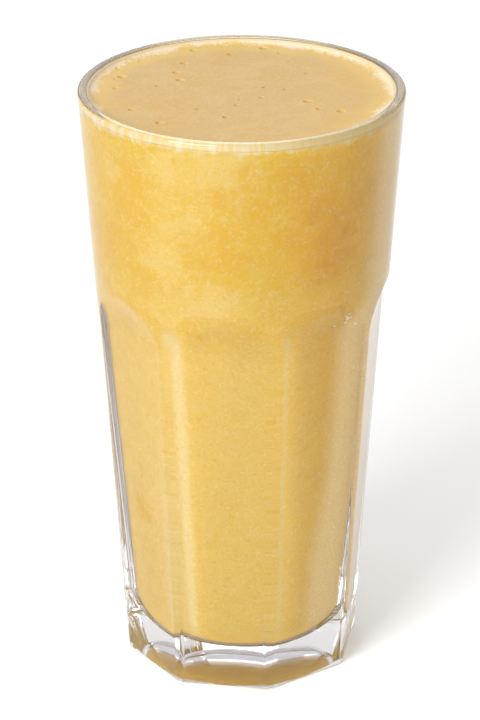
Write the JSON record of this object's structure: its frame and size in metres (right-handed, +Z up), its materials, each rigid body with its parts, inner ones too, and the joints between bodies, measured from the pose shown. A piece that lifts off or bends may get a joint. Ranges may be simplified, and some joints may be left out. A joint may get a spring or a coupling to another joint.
{
  "type": "mango smoothie in a tumbler",
  "caption": "Tall clear tumbler with a round collar and flat panels below it, filled almost to its rim with an opaque yellow mango smoothie.",
  "frame": {"origin": "centre of the foot, on the standing face", "axes": "+Z up along the tumbler's axis; the middle of one flat panel faces -Y, which is the front"},
  "size_m": [0.095, 0.095, 0.18],
  "materials": {
    "clear_glass": "clear and polished",
    "mango_smoothie": "opaque, wet, slightly mottled"
  },
  "bodies": {
    "root": {"glass": "clear_glass", "smoothie": "mango_smoothie"}
  },
  "joints": []
}
